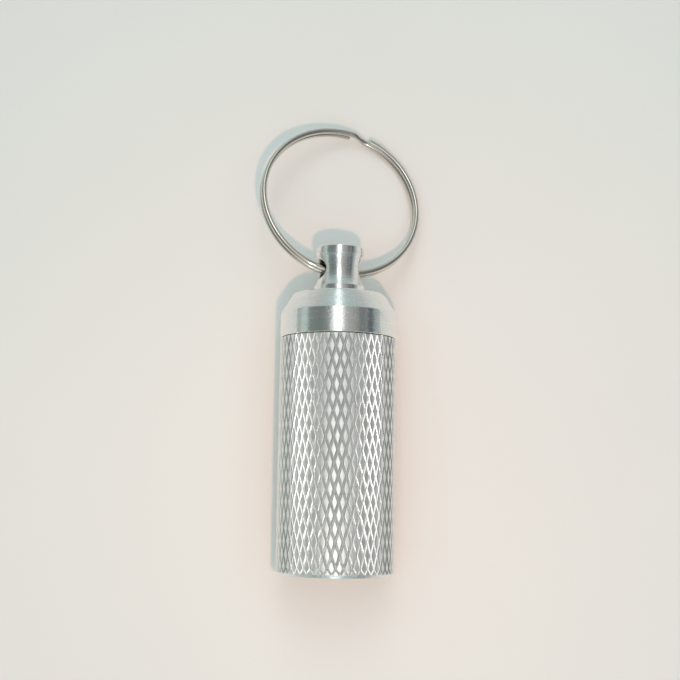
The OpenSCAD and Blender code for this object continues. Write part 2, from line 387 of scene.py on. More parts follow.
def make_piece(
    name: str, sheets: list[Sheet], axes: Axes, sharp_from: float = 38.0
) -> bpy.types.Object:
    """Welds sheets into one smooth-shaded mesh object in the frame.

    Args:
        name: the piece's name.
        sheets: its sheets, which meet at shared points.
        axes: where the axis lies.
        sharp_from: faces that meet at more degrees than this keep a crisp edge.

    Returns:
        The object, at the origin, with its place in its mesh.
    """
    starts = np.cumsum([0] + [len(s.points) for s in sheets])
    points = axes.place(np.vstack([s.points for s in sheets]))
    faces = [f + start for s, start in zip(sheets, starts) for f in s.faces]
    corners = np.concatenate([f.reshape(-1) for f in faces]).astype(np.int32)
    sizes = np.concatenate([np.full(len(f), f.shape[1]) for f in faces])
    mesh = bpy.data.meshes.new(name)
    mesh.vertices.add(len(points))
    mesh.vertices.foreach_set("co", points.astype(np.float32).reshape(-1))
    mesh.loops.add(len(corners))
    mesh.loops.foreach_set("vertex_index", corners)
    mesh.polygons.add(len(sizes))
    mesh.polygons.foreach_set("loop_start", (np.cumsum(sizes) - sizes).astype(np.int32))
    mesh.update(calc_edges=True)
    for mark in Mark:
        values = [s.marks.get(mark, np.zeros(len(s.points))) for s in sheets]
        layer = mesh.attributes.new(mark.value, "FLOAT", "POINT")
        layer.data.foreach_set("value", np.concatenate(values).astype(np.float32))
    wanted = np.vstack([s.corner_normals() for s in sheets])
    layer = mesh.attributes.new("given_normal", "FLOAT_VECTOR", "CORNER")
    layer.data.foreach_set("vector", wanted.astype(np.float32).reshape(-1))
    work = bmesh.new()
    work.from_mesh(mesh)
    bmesh.ops.remove_doubles(work, verts=work.verts, dist=WELD)
    bmesh.ops.dissolve_degenerate(work, edges=work.edges, dist=WELD)
    work.to_mesh(mesh)
    open_edges = sum(1 for e in work.edges if not e.is_manifold)
    volume = work.calc_volume(signed=True)
    work.free()
    mesh.validate()
    mesh.shade_smooth()
    mesh.set_sharp_from_angle(angle=math.radians(sharp_from))
    normals = np.zeros(len(mesh.loops) * 3, np.float32)
    mesh.attributes["given_normal"].data.foreach_get("vector", normals)
    if np.any(normals):
        mesh.normals_split_custom_set(normals.reshape(-1, 3).tolist())
    mesh.attributes.remove(mesh.attributes["given_normal"])
    made = bpy.data.objects.new(name, mesh)
    bpy.context.scene.collection.objects.link(made)
    triangles = sum(len(p.vertices) - 2 for p in mesh.polygons)
    volume /= MM**3
    log.info("%s: %d triangles, %d open edges, %.1f mm3", name, triangles, open_edges, volume)
    return made


@dataclass
class KnurledTube:
    """The tube: a diamond knurl outside, a thread and the pill space inside.

    The steep and gentle shares are the wanted slopes at a groove's bottom and at its edge,
    as shares of the flank's own slope. A name that ends in round is an edge's rounding.
    """

    fits: Fits
    axes: Axes
    base_bevel: float = 0.5
    bevel_in: float = 0.2
    bevel_step: float = 0.01
    seam_gap: float = 0.12
    core_gap: float = 0.25
    columns: int = 46
    half_rows: int = 19
    row_length: float = 1.847
    depth: float = 0.2
    flat: float = 0.60
    drift: float = 0.0986
    start_angle: float = math.radians(-2.81)
    floor_thickness: float = 1.6
    floor_fillet: float = 1.0
    mouth_edge: float = 0.3
    relief_back: float = 8.0
    edge_round: float = 0.09
    steep_share: float = 1.45
    gentle_share: float = 0.55
    base_round: float = 0.06
    rim_round: float = 0.04
    mouth_round: float = 0.06
    relief_round: float = 0.1
    step_round: float = 0.08
    thread_runout: float = 0.2
    inner_step: float = 2.5

    def knurl(self) -> tuple[Sheet, np.ndarray, np.ndarray, np.ndarray, np.ndarray]:
        """The diamond knurl, as the lower of two crossing families of V grooves.

        With u and v counted across the two families, a point lies at column (u + v) / 2
        and half row v - u, and its height is min(f(u), f(v)), where f climbs a straight
        flank, turns over a small round and runs level. Rows of the grid follow v - u, and
        its columns follow u. Cells where the two heights cross are cut in two along the
        crossing. A face's wanted normals are out - s across, with its own family's s, which
        falls from the groove's bottom to its edge. The half row at the closed end is cut short.

        Returns:
            The sheet, then the angles and radii of its first row and of its last row.
        """
        width = FULL_TURN / self.columns
        half_row = self.row_length
        top = self.fits.tube_len - self.seam_gap
        cut_row = top - self.base_bevel - (self.half_rows - 1) * half_row
        groove_r = self.fits.body_r - self.depth
        cell = math.hypot(width * groove_r, 2 * half_row)
        cross_share, along_share = 2 * half_row / cell, width * groove_r / cell
        side = (1 - self.flat) / 2
        low, high = side - self.edge_round / 2, side + self.edge_round / 2
        slope = self.depth / (side * width * groove_r * cross_share)
        stations = np.array([0.0, low, high, 1 - high, 1 - low])
        heights = np.array([0.0, low / side, 1.0, 1.0, low / side, 0.0])
        steep, gentle = self.steep_share * slope, self.gentle_share * slope
        slopes = np.array(
            [[steep, gentle], [gentle, 0], [0, 0], [0, -gentle], [-gentle, -steep]]
        )
        n = len(stations)
        row = np.arange(self.half_rows * n + 1)[:, None]
        column = np.arange(self.columns * n)[None, :]
        u_index, v_index = column + 0 * row, column + row

        def place(u_at: np.ndarray, v_at: np.ndarray) -> tuple[np.ndarray, np.ndarray]:
            """Finds where grid points lie.

            Args:
                u_at: their numbers across the first family.
                v_at: their numbers across the second family.

            Returns:
                Their angles and their stations.
            """
            u = u_at // n + stations[u_at % n]
            v = v_at // n + stations[v_at % n]
            angle = self.start_angle + width * ((u + v) / 2 - self.drift * (v - u) / 2)
            rows = v - u
            below_top = top - half_row * (self.half_rows - rows)
            return angle, np.where(rows < 1, self.base_bevel + cut_row * rows, below_top)

        angle, y = place(u_index, v_index)
        height = np.minimum(heights[u_index % n], heights[v_index % n])
        radius = groove_r + self.depth * height
        number = np.arange(row.size * column.size).reshape(row.size, column.size)
        right = np.roll(number, -1, axis=1)
        at = {(0, 0): number[1:-1], (1, 0): right[:-2], (1, 1): right[1:-1], (0, 1): number[2:]}
        faces, normals = [], []

        def add(
            corners: list[tuple[int, int]],
            numbers: list[np.ndarray],
            u_at: np.ndarray,
            v_at: np.ndarray,
            kept: np.ndarray,
        ) -> None:
            """Adds faces and their wanted normals.

            Args:
                corners: each corner's steps from the cell's own point.
                numbers: each corner's point numbers.
                u_at: the cells' numbers across the first family.
                v_at: the cells' numbers across the second family.
                kept: which cells get this face.
            """
            i, j = u_at[kept] % n, v_at[kept] % n
            height_u = sum(heights[i + du] for du, _ in corners)
            height_v = sum(heights[j + dv] for _, dv in corners)
            of_u, of_v = height_u < height_v - SAME, height_v < height_u - SAME
            wanted = []
            for du, dv in corners:
                a, _ = place(u_at[kept] + du, v_at[kept] + dv)
                su, sv = slopes[i, du] * of_u, slopes[j, dv] * of_v
                tilt = around(np.ones_like(a), (su - sv) * along_share, a)
                tilt -= around((su + sv) * cross_share, 0 * a, a + math.pi / 2)
                wanted.append(tilt / np.linalg.norm(tilt, axis=-1, keepdims=True))
            faces.append(np.stack([number_at[kept] for number_at in numbers], -1))
            normals.append(np.stack(wanted, -2))

        inner_u, inner_v = u_index[1:-1], v_index[1:-1]
        i, j = inner_u % n, inner_v % n
        level = (i == n // 2) & (j == n // 2)
        ridge, spine = (i == j) & ~level, (i + j == n - 1) & ~level
        for corners, kept in (
            ([(0, 0), (1, 0), (1, 1), (0, 1)], ~(ridge | spine)),
            ([(0, 0), (1, 0), (1, 1)], ridge),
            ([(0, 0), (1, 1), (0, 1)], ridge),
            ([(0, 0), (1, 0), (0, 1)], spine),
            ([(1, 0), (1, 1), (0, 1)], spine),
        ):
            add(corners, [at[c] for c in corners], inner_u, inner_v, kept)
        every = np.ones(column.size, bool)
        first = [number[0], right[0], number[1]]
        add([(0, 0), (1, 1), (0, 1)], first, u_index[0], v_index[0], every)
        last = [number[-1], right[-2], right[-1]]
        add([(0, 0), (1, 0), (1, 1)], last, u_index[-1], v_index[-1], every)
        # The groove mark also darkens the grooves in the material: painted shade, with dirt.
        marks = {Mark.GROOVE: (1 - height).reshape(-1)}
        points = around(radius, y, angle).reshape(-1, 3)
        return Sheet(points, faces, marks, normals), angle[0], radius[0], angle[-1], radius[-1]

    def sheets(self) -> list[Sheet]:
        """Makes all of the tube's surfaces.

        Returns:
            The closed end, the knurl, the mouth, the thread and the pill space, in order.
        """
        fits = self.fits
        knurl, low_angles, low_r, high_angles, high_r = self.knurl()
        groove_r = fits.body_r - self.depth
        bevel_r = groove_r - self.bevel_step
        core_r = groove_r - self.core_gap
        top = fits.tube_len - self.seam_gap
        base = revolved(
            [
                Corner(0.0, 0.0),
                Corner(bevel_r - self.bevel_in, 0.0, self.base_round),
                Corner(bevel_r, self.base_bevel),
            ],
            low_angles,
        )
        base.marks[Mark.TURNED] = np.ones(len(base.points))
        rim_low = flat_ring(bevel_r, low_r, self.base_bevel, low_angles)
        # The seam's gap floor is darkened towards its bottom: painted shade.
        rim_high = flat_ring(high_r, core_r, top, high_angles, grime=(0.0, 1.0))
        thread_top = fits.tube_len - fits.thread_near
        thread_low = fits.tube_len - fits.thread_far - self.thread_runout
        mouth = revolved(
            [
                Corner(core_r, top),
                Corner(core_r, fits.tube_len, self.rim_round),
                Corner(fits.mouth_r + self.mouth_edge, fits.tube_len, self.rim_round),
                Corner(fits.mouth_r, fits.tube_len - self.mouth_edge, self.mouth_round),
                Corner(fits.mouth_r, thread_top),
            ],
            high_angles,
        )
        strip_r = np.hypot(mouth.points[:, 0], mouth.points[:, 2])
        # The gap's inner wall carries full painted shade.
        mouth.marks[Mark.GRIME] = (strip_r > core_r - TINY).astype(float)
        thread = thread_sheet(
            fits, thread_top, thread_low, high_angles, fits.thread_clearance, fits.mouth_r
        )
        relief = fits.tube_len - self.relief_back
        pill_space = revolved(
            [
                Corner(fits.mouth_r, thread_low),
                Corner(fits.mouth_r, relief, self.relief_round),
                Corner(fits.cavity_r, relief, self.step_round),
                Corner(fits.cavity_r, self.floor_thickness, self.floor_fillet),
                Corner(0.0, self.floor_thickness),
            ],
            high_angles,
            longest=self.inner_step,
        )
        return [base, rim_low, knurl, rim_high, mouth, thread, pill_space]

    def build(self) -> bpy.types.Object:
        """Makes the tube and lets it ride on its body.

        Returns:
            The tube's object.
        """
        piece = make_piece("tube_knurled", self.sheets(), self.axes)
        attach(piece, Body.TUBE.value)
        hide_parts("tube")
        return piece


@dataclass
class TurnedCap:
    """The cap: threaded spigot, band, shoulder and waisted neck with its cross hole.

    The patch is the waist's surface round the hole's mouth, and its rows crowd towards the
    mouth by a power. A name that ends in round is an edge's rounding.
    """

    fits: Fits
    axes: Axes
    hole_turn: float = math.radians(17.5)
    columns: int = 256
    band_len: float = 3.65
    shoulder_len: float = 2.95
    shoulder_r: float = 6.9
    neck_len: float = 7.3
    foot_r: float = 3.8
    foot_len: float = 1.2
    rim_r: float = 3.575
    rim_len: float = 1.3
    waist_r: float = 3.05
    neck_edge: float = 0.25
    hole_r: float = 1.45
    hole_lip: float = 0.33
    spigot_len: float = 7.2
    spigot_edge: float = 0.5
    dish_depth: float = 1.2
    dish_r: float = 4.5
    seal_gap: float = 0.04
    cap_edge: float = 0.12
    side_steps: int = 40
    patch_rows: int = 15
    patch_power: float = 0.8
    lip_steps: int = 6
    wall_steps: int = 6
    # Painted shade on the hole's lip, from its outer to its inner edge, and on its wall.
    lip_grime: Band = (0.1, 0.5)
    wall_grime: float = 0.6
    turned_round: float = 0.05
    groove_round: float = 0.1
    dish_round: float = 0.2
    spigot_round: float = 0.08
    band_round: float = 0.04
    shoulder_round: float = 0.14
    foot_round: float = 0.06
    neck_round: float = 0.08
    body_step: float = 0.8
    rim_step: float = 0.6

    @property
    def shoulder_y(self) -> float:
        """Station of the band's upper edge."""
        return self.fits.tube_len + self.band_len

    @property
    def neck_y(self) -> float:
        """Station of the shoulder's top."""
        return self.shoulder_y + self.shoulder_len

    @property
    def end_y(self) -> float:
        """Station of the neck's end."""
        return self.neck_y + self.neck_len

    def waist(self) -> tuple[float, float]:
        """The waist's arc from the foot's edge to the rim's edge.

        Returns:
            The arc's radius and the station where the neck is narrowest.
        """
        drop, foot_drop = self.rim_r - self.waist_r, self.foot_r - self.waist_r
        length = self.neck_len - self.foot_len - self.rim_len
        c = length**2 - drop * foot_drop + foot_drop**2
        a = 1 - foot_drop / drop
        run = c / (length + math.sqrt(length**2 - a * c))
        return (run**2 + drop**2) / (2 * drop), self.end_y - self.rim_len - run

    def waist_radius(self, y: np.ndarray) -> np.ndarray:
        """Radius of the waist at a station: r + R - sqrt(R^2 - (y - y0)^2)."""
        arc, middle = self.waist()
        return self.waist_r + arc - np.sqrt(arc**2 - (y - middle) ** 2)

    def mouth_patch(self) -> Sheet:
        """Half of the waist, with the hole's right mouth, its rounded lip and its wall.

        The outer loop runs round the half waist, theta from 0 to 180 degrees. Each of its
        points is drawn along a straight line in (theta, y) to the hole's circle, which it
        meets at its own angle phi. The lip is the curve (1 - t)^2 A + 2 t (1 - t) E + t^2 B
        from A on the waist, round the sharp edge E, to B on the wall. The wall then runs
        to the plane x = 0.

        Returns:
            The patch for a hole along x.
        """
        _, middle = self.waist()
        low, high = self.neck_y + self.foot_len, self.end_y - self.rim_len
        half = self.columns // 2
        across = np.linspace(0.0, math.pi, half + 1)
        up = np.linspace(low, high, self.side_steps + 1)
        back, front = np.full(self.side_steps, math.pi), np.zeros(self.side_steps)
        theta = np.concatenate([across[:-1], back, across[:0:-1], front])
        y = np.concatenate([np.full(half, low), up[:-1], np.full(half, high), up[:0:-1]])
        phi = np.arctan2(y - middle, self.waist_radius(y) * (theta - math.pi / 2))

        def on_waist(radius: float) -> tuple[np.ndarray, np.ndarray]:
            """Finds where a circle about the hole's axis meets the waist.

            Args:
                radius: the circle's radius.

            Returns:
                The angles and the stations, one for each phi.
            """
            station = middle + radius * np.sin(phi)
            return np.arccos(-radius * np.cos(phi) / self.waist_radius(station)), station

        lip_theta, lip_y = on_waist(self.hole_r + self.hole_lip)
        edge_theta, edge_y = on_waist(self.hole_r)
        share = np.linspace(0.0, 1.0, self.patch_rows)[:, None] ** self.patch_power
        patch_theta = theta + share * (lip_theta - theta)
        patch_y = y + share * (lip_y - y)
        patch = around(self.waist_radius(patch_y), patch_y, patch_theta)
        edge = around(self.waist_radius(edge_y), edge_y, edge_theta)
        inner = edge - np.array([self.hole_lip, 0.0, 0.0])
        t = np.linspace(0.0, 1.0, self.lip_steps + 1)[1:, None, None]
        lip = (1 - t) ** 2 * patch[-1] + 2 * t * (1 - t) * edge + t**2 * inner
        depth = np.linspace(1.0, 0.0, self.wall_steps + 1)[1:, None, None]
        wall = inner * np.array([1.0, 0.0, 0.0]) * depth + inner * np.array([0.0, 1.0, 1.0])
        rows = np.concatenate([patch, lip, wall])
        clean = np.zeros(len(patch))
        worn = np.concatenate([clean, np.ones(len(lip)), np.zeros(len(wall))])
        # The lip and the wall are darkened into the hole: painted shade.
        shaded_lip = np.linspace(*self.lip_grime, len(lip))
        shaded = np.concatenate([clean, shaded_lip, np.full(len(wall), self.wall_grime)])
        loop = rows.shape[1]
        return grid(
            rows,
            closed=True,
            edge=np.repeat(worn[:, None], loop, axis=1),
            grime=np.repeat(shaded[:, None], loop, axis=1),
        )

    def sheets(self) -> list[Sheet]:
        """Makes all of the cap's surfaces.

        Returns:
            The spigot's end, the thread, the body from the seal's groove to the neck's
            foot, both halves of the waist with the hole, and the neck's end.
        """
        fits = self.fits
        angles = np.arange(self.columns) * FULL_TURN / self.columns
        low = fits.tube_len - self.spigot_len
        groove_half = fits.seal_wire_r + self.seal_gap
        seal_y = fits.tube_len - fits.seal_back
        groove_r = fits.seal_ring_r - groove_half
        thread_low = low + self.spigot_edge
        thread_top = fits.tube_len - fits.thread_near
        end = revolved(
            [
                Corner(0.0, low + self.dish_depth),
                Corner(self.dish_r - self.dish_depth / 2, low + self.dish_depth, self.dish_round),
                Corner(self.dish_r, low, self.spigot_round),
                Corner(fits.spigot_r - self.spigot_edge, low, self.turned_round),
                Corner(fits.spigot_r, thread_low),
            ],
            angles,
        )
        thread = thread_sheet(fits, thread_low, thread_top, angles, 0.0, fits.spigot_r)
        body = revolved(
            [
                Corner(fits.spigot_r, thread_top),
                Corner(fits.spigot_r, seal_y - groove_half, self.turned_round),
                Corner(groove_r, seal_y - groove_half, self.groove_round),
                Corner(groove_r, seal_y + groove_half, self.groove_round),
                Corner(fits.spigot_r, seal_y + groove_half, self.turned_round),
                Corner(fits.spigot_r, fits.tube_len, self.turned_round),
                Corner(fits.body_r - self.cap_edge, fits.tube_len, self.band_round),
                Corner(fits.body_r, fits.tube_len + self.cap_edge, self.band_round),
                Corner(fits.body_r, self.shoulder_y, self.shoulder_round),
                Corner(self.shoulder_r, self.neck_y - self.cap_edge, self.turned_round),
                Corner(self.shoulder_r - self.cap_edge, self.neck_y, self.turned_round),
                Corner(self.foot_r, self.neck_y, self.foot_round),
                Corner(self.foot_r, self.neck_y + self.foot_len),
            ],
            angles,
            longest=self.body_step,
        )
        rim = revolved(
            [
                Corner(self.rim_r, self.end_y - self.rim_len),
                Corner(self.rim_r, self.end_y - self.neck_edge, self.neck_round),
                Corner(self.rim_r - self.neck_edge, self.end_y, self.neck_round),
                Corner(0.0, self.end_y),
            ],
            angles,
            longest=self.rim_step,
        )
        mouth = self.mouth_patch()
        parts = [end, thread, body, mouth, mouth.mirrored(), rim]
        return [p.turned(self.hole_turn) for p in parts]

    def build(self) -> bpy.types.Object:
        """Makes the cap and lets it ride on its body.

        Returns:
            The cap's object.
        """
        piece = make_piece("cap_turned", self.sheets(), self.axes, sharp_from=25.0)
        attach(piece, Body.CAP.value)
        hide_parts("cap")
        return piece


@dataclass
class Seal:
    """The rubber ring in the spigot's groove, with the fine line of its mould."""

    fits: Fits
    axes: Axes
    columns: int = 144
    sides: int = 36
    flash: float = 0.025
    flash_width: float = 0.16

    def build(self) -> bpy.types.Object:
        """Makes the seal and lets it ride on its body.

        With b round the section, the radius there is r - f + f exp(-(sin b / w)^2), so the
        mould's line stands at the section's full radius, and the rest a little inside.

        Returns:
            The seal's object.
        """
        fits = self.fits
        a = np.arange(self.columns)[None, :] * FULL_TURN / self.columns
        b = -np.arange(self.sides + 1)[:, None] * FULL_TURN / self.sides
        sunk = 1 - np.exp(-((np.sin(b) / self.flash_width) ** 2))
        section = fits.seal_wire_r - self.flash * sunk
        radius = fits.seal_ring_r + section * np.cos(b)
        y = fits.tube_len - fits.seal_back - section * np.sin(b)
        piece = make_piece("seal_ring", [grid(around(radius, y, a), closed=True)], self.axes)
        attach(piece, Body.SEAL.value)
        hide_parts("o_ring")
        return piece


@dataclass
class SplitRing:
    """The split ring: one round wire of two turns, with a step where it crosses over."""

    axes: Axes
    ring_r: float = 12.232
    wire_r: float = 0.44
    turn_half: float = 0.47
    split_angle: float = math.radians(71.5)
    step_angle: float = math.radians(12)
    end_gap: float = math.radians(1)
    end_round: float = 0.12
    end_steps: int = 4
    sides: int = 28
    step_length: float = math.radians(1.5)

    def build(self) -> bpy.types.Object:
        """Makes the ring and lets it ride on its body.

        The wire's line is C + R cos(s) h + R sin(s) d + lift(a) n, with s = split + a, and
        its surface lies w (cos(b) e + sin(b) n) away, where e points out from C. The lift
        goes from -turn_half to turn_half as a cosine over the step. At both ends w follows
        a quarter circle, and the end is closed flat.

        Returns:
            The ring's object.
        """
        joint = next(j for j in frame["joints"] if j["name"] == "ring_swing")
        mount = next(m for m in frame["record"]["mounts"] if m["name"] == "ring_loop")
        hole = np.array(joint["axis"], float)
        normal = np.array(mount["axis"], float)
        reach = np.cross(normal, hole)
        axis = np.array([0.0, self.axes.base_y, self.axes.axis_z])
        centre = (np.array(mount["pos_m"]) - axis) / MM
        first = self.step_angle / 2 + self.end_gap
        last = 2 * FULL_TURN - first
        steps = round((last - first) / self.step_length)
        bend = np.linspace(0.0, math.pi / 2, self.end_steps + 1)
        run = self.end_round / self.ring_r * (1 - np.cos(bend))
        thin = self.wire_r - self.end_round * (1 - np.sin(bend))
        inner = np.linspace(first + run[-1], last - run[-1], steps)[1:-1]
        a = np.concatenate([[first], first + run, inner, last - run[::-1], [last]])
        w = np.concatenate([[0.0], thin, np.full(len(inner), self.wire_r), thin[::-1], [0.0]])
        t = np.clip((a - FULL_TURN + self.step_angle / 2) / self.step_angle, 0.0, 1.0)
        lift = -self.turn_half * np.cos(math.pi * t)
        b = -np.arange(self.sides) * FULL_TURN / self.sides
        s = (self.split_angle + a)[:, None, None]
        outwards = np.cos(s) * hole + np.sin(s) * reach
        middle = centre + self.ring_r * outwards + lift[:, None, None] * normal
        ray = np.cos(b)[None, :, None] * outwards + np.sin(b)[None, :, None] * normal
        points = middle + w[:, None, None] * ray
        wire = grid(points, closed=True)
        piece = make_piece("split_ring_wire", [wire], self.axes, sharp_from=50.0)
        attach(piece, Body.RING.value)
        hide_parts("split_ring")
        return piece


class Wiring:
    """Adds nodes to one node tree and links them."""

    def __init__(self, tree: bpy.types.NodeTree) -> None:
        """Starts on a tree, emptied of its nodes."""
        self.tree = tree
        tree.nodes.clear()

    def add(self, kind: str, inputs: dict | None = None, **settings: object) -> bpy.types.Node:
        """Adds a node.

        Args:
            kind: the node's type name, without ShaderNode in front.
            inputs: values or output sockets, by the input's name or number.
            settings: the node's own properties.

        Returns:
            The node.
        """
        full = kind if kind.startswith("NodeGroup") else "ShaderNode" + kind
        node = self.tree.nodes.new(full)
        for name, value in settings.items():
            setattr(node, name, value)
        for key, value in (inputs or {}).items():
            if isinstance(value, bpy.types.NodeSocket):
                self.tree.links.new(value, node.inputs[key])
            else:
                node.inputs[key].default_value = value
        return node

    def math(self, operation: str, *values: Amount, clamp: bool = False) -> bpy.types.NodeSocket:
        """Adds a Math node and returns its output."""
        inputs = dict(enumerate(values))
        return self.add("Math", inputs, operation=operation, use_clamp=clamp).outputs[0]

    def times(self, first: Amount, second: Amount) -> bpy.types.NodeSocket:
        """Returns the product of two values."""
        return self.math("MULTIPLY", first, second)

    def plus(self, first: Amount, second: Amount) -> bpy.types.NodeSocket:
        """Returns the sum of two values."""
        return self.math("ADD", first, second)

    def less(self, first: Amount, second: Amount) -> bpy.types.NodeSocket:
        """Returns the first value less the second."""
        return self.math("SUBTRACT", first, second)

    def larger(self, first: Amount, second: Amount) -> bpy.types.NodeSocket:
        """Returns the larger of two values."""
        return self.math("MAXIMUM", first, second)

    def ramp(
        self,
        value: bpy.types.NodeSocket,
        low: float,
        high: float,
        to_low: float = 0.0,
        to_high: float = 1.0,
    ) -> bpy.types.NodeSocket:
        """Maps low..high to to_low..to_high, clamped, and returns the output."""
        ends = {"From Min": low, "From Max": high, "To Min": to_low, "To Max": to_high}
        return self.add("MapRange", {"Value": value, **ends}).outputs["Result"]

    def noise(
        self, place: bpy.types.NodeSocket, scale: Amount, detail: float, **more: float
    ) -> bpy.types.NodeSocket:
        """Adds a noise pattern and returns its value."""
        inputs = {"Vector": place, "Scale": scale, "Detail": detail, **more}
        return self.add("TexNoise", inputs).outputs[0]

    def blend(self, share: Amount, *paints: Paint) -> bpy.types.NodeSocket:
        """Mixes two colours by a share and returns the colour."""
        first, second = (p if isinstance(p, bpy.types.NodeSocket) else rgba(p) for p in paints)
        return self.add("Mix", {0: share, 6: first, 7: second}, data_type="RGBA").outputs[2]

    def mark(self, mark: Mark) -> bpy.types.NodeSocket:
        """Reads a mark that the piece's points carry."""
        return self.add("Attribute", attribute_name=mark.value).outputs["Fac"]

    def bump(self, height: bpy.types.NodeSocket) -> bpy.types.NodeSocket:
        """Tilts the surface as a height in metres would, and returns the normal."""
        return self.add("Bump", {"Height": height, "Distance": 1.0, "Strength": 1.0}).outputs[0]

    def surface(self, inputs: dict) -> None:
        """Ends a material with a Principled BSDF that has these inputs."""
        shader = self.add("BsdfPrincipled", inputs)
        self.add("OutputMaterial", {"Surface": shader.outputs[0]})


def rgba(colour: Colour) -> tuple[float, float, float, float]:
    """A colour with full alpha."""
    return (*colour, 1.0)


def new_material(name: str) -> tuple[bpy.types.Material, Wiring]:
    """Starts a material.

    Args:
        name: the material's name.

    Returns:
        The material and its wiring.
    """
    made = bpy.data.materials.new(name)
    made.use_nodes = True
    return made, Wiring(made.node_tree)


@dataclass
class Effects:
    """The effects that several materials use, each a node group built once.

    Scales count a pattern's spots in a metre. A band is where a mask starts and where it
    is full.
    """

    axes: Axes
    broad_share: float = 0.12
    scratch_ways: tuple[tuple[float, float], ...] = ((0.5, 0.3), (1.9, -0.6), (2.7, 1.1))
    scratch_sway: float = 0.4
    scratch_stretch: float = 26.0
    scratch_band: Band = (0.70, 0.74)
    patch_scale: float = 260.0
    patch_band: Band = (0.45, 0.62)
    pit_band: Band = (0.17, 0.10)
    chance_band: Band = (0.50, 0.54)
    smudge_scale: float = 190.0
    smudge_band: Band = (0.35, 0.7)
    wave_scale: float = 2600.0
    lathe: bpy.types.NodeTree = field(init=False)
    handling: bpy.types.NodeTree = field(init=False)

    def __post_init__(self) -> None:
        """Builds both groups."""
        self.lathe = self.lathe_lines()
        self.handling = self.handling_marks()

    def new_group(self, name: str, inputs: dict[str, float], outputs: list[str]) -> Wiring:
        """Starts a group of float sockets.

        Args:
            name: the group's name.
            inputs: each input's name and usual value.
            outputs: the outputs' names.

        Returns:
            The wiring of the new group.
        """
        tree = bpy.data.node_groups.new(name, "ShaderNodeTree")
        kind = "NodeSocketFloat"
        for key, value in inputs.items():
            socket = tree.interface.new_socket(name=key, in_out="INPUT", socket_type=kind)
            socket.default_value = value
        for key in outputs:
            tree.interface.new_socket(name=key, in_out="OUTPUT", socket_type=kind)
        return Wiring(tree)

    def lathe_lines(self) -> bpy.types.NodeTree:
        """Rings left by the lathe tool: noise over the radius and the station only.

        The value changes with (sqrt(x^2 + z^2), y) about the tube's axis, so a wall has
        rings round it and an end face has circles.

        Returns:
            The group, whose Width is in millimetres.
        """
        wiring = self.new_group("lathe_lines", {"Width": 0.05}, ["Fine", "Broad"])
        given = wiring.add("NodeGroupInput").outputs
        place = wiring.add("TexCoord").outputs["Object"]
        axis = (0.0, self.axes.base_y, self.axes.axis_z)
        centred = wiring.add("VectorMath", {0: place, 1: axis}, operation="SUBTRACT").outputs[0]
        parts = wiring.add("SeparateXYZ", {0: centred}).outputs
        squares = [wiring.math("POWER", parts[name], 2.0) for name in ("X", "Z")]
        radius = wiring.math("SQRT", wiring.plus(*squares))
        flat = wiring.add("CombineXYZ", {"X": radius, "Y": parts["Y"]}).outputs[0]
        scale = wiring.math("DIVIDE", 1.0 / MM, given["Width"])
        fine = wiring.noise(flat, scale, 2.0, Roughness=0.6)
        broad = wiring.noise(flat, wiring.times(scale, self.broad_share), 2.0)
        wiring.add("NodeGroupOutput", {"Fine": fine, "Broad": broad})
        return wiring.tree

    def handling_marks(self) -> bpy.types.NodeTree:
        """Scratches in three directions, small pits, smudges and a fine waviness, from 0 to 1.

        Returns:
            The group, whose Scratch length and Pit size are in millimetres.
        """
        wiring = self.new_group(
            "handling_marks",
            {"Scratch length": 3.0, "Pit size": 0.5},
            ["Scratches", "Pits", "Smudges", "Waves"],
        )
        given = wiring.add("NodeGroupInput").outputs
        place = wiring.add("TexCoord").outputs["Object"]
        length = wiring.math("DIVIDE", 1.0 / MM, given["Scratch length"])
        thin = (1.0, self.scratch_stretch, self.scratch_stretch)
        lines = []
        for turn, lift in self.scratch_ways:
            bend = (lift, self.scratch_sway * turn, turn)
            bent = wiring.add("Mapping", {"Vector": place, "Rotation": bend, "Scale": thin})
            line = wiring.noise(bent.outputs[0], length, 1.0)
            lines.append(wiring.ramp(line, *self.scratch_band))
        scratched = reduce(wiring.larger, lines)
        patchy = wiring.ramp(wiring.noise(place, self.patch_scale, 2.0), *self.patch_band)
        pit_scale = wiring.math("DIVIDE", 1.0 / MM, given["Pit size"])
        cells = wiring.add("TexVoronoi", {"Vector": place, "Scale": pit_scale}).outputs
        chance = wiring.add("SeparateColor", {0: cells["Color"]}).outputs[0]
        pitted = wiring.ramp(cells["Distance"], *self.pit_band)
        smudge = wiring.noise(place, self.smudge_scale, 3.0)
        marks = {
            "Scratches": wiring.times(scratched, patchy),
            "Pits": wiring.times(pitted, wiring.ramp(chance, *self.chance_band)),
            "Smudges": wiring.ramp(smudge, *self.smudge_band),
            "Waves": wiring.noise(place, self.wave_scale, 1.0),
        }
        wiring.add("NodeGroupOutput", marks)
        return wiring.tree


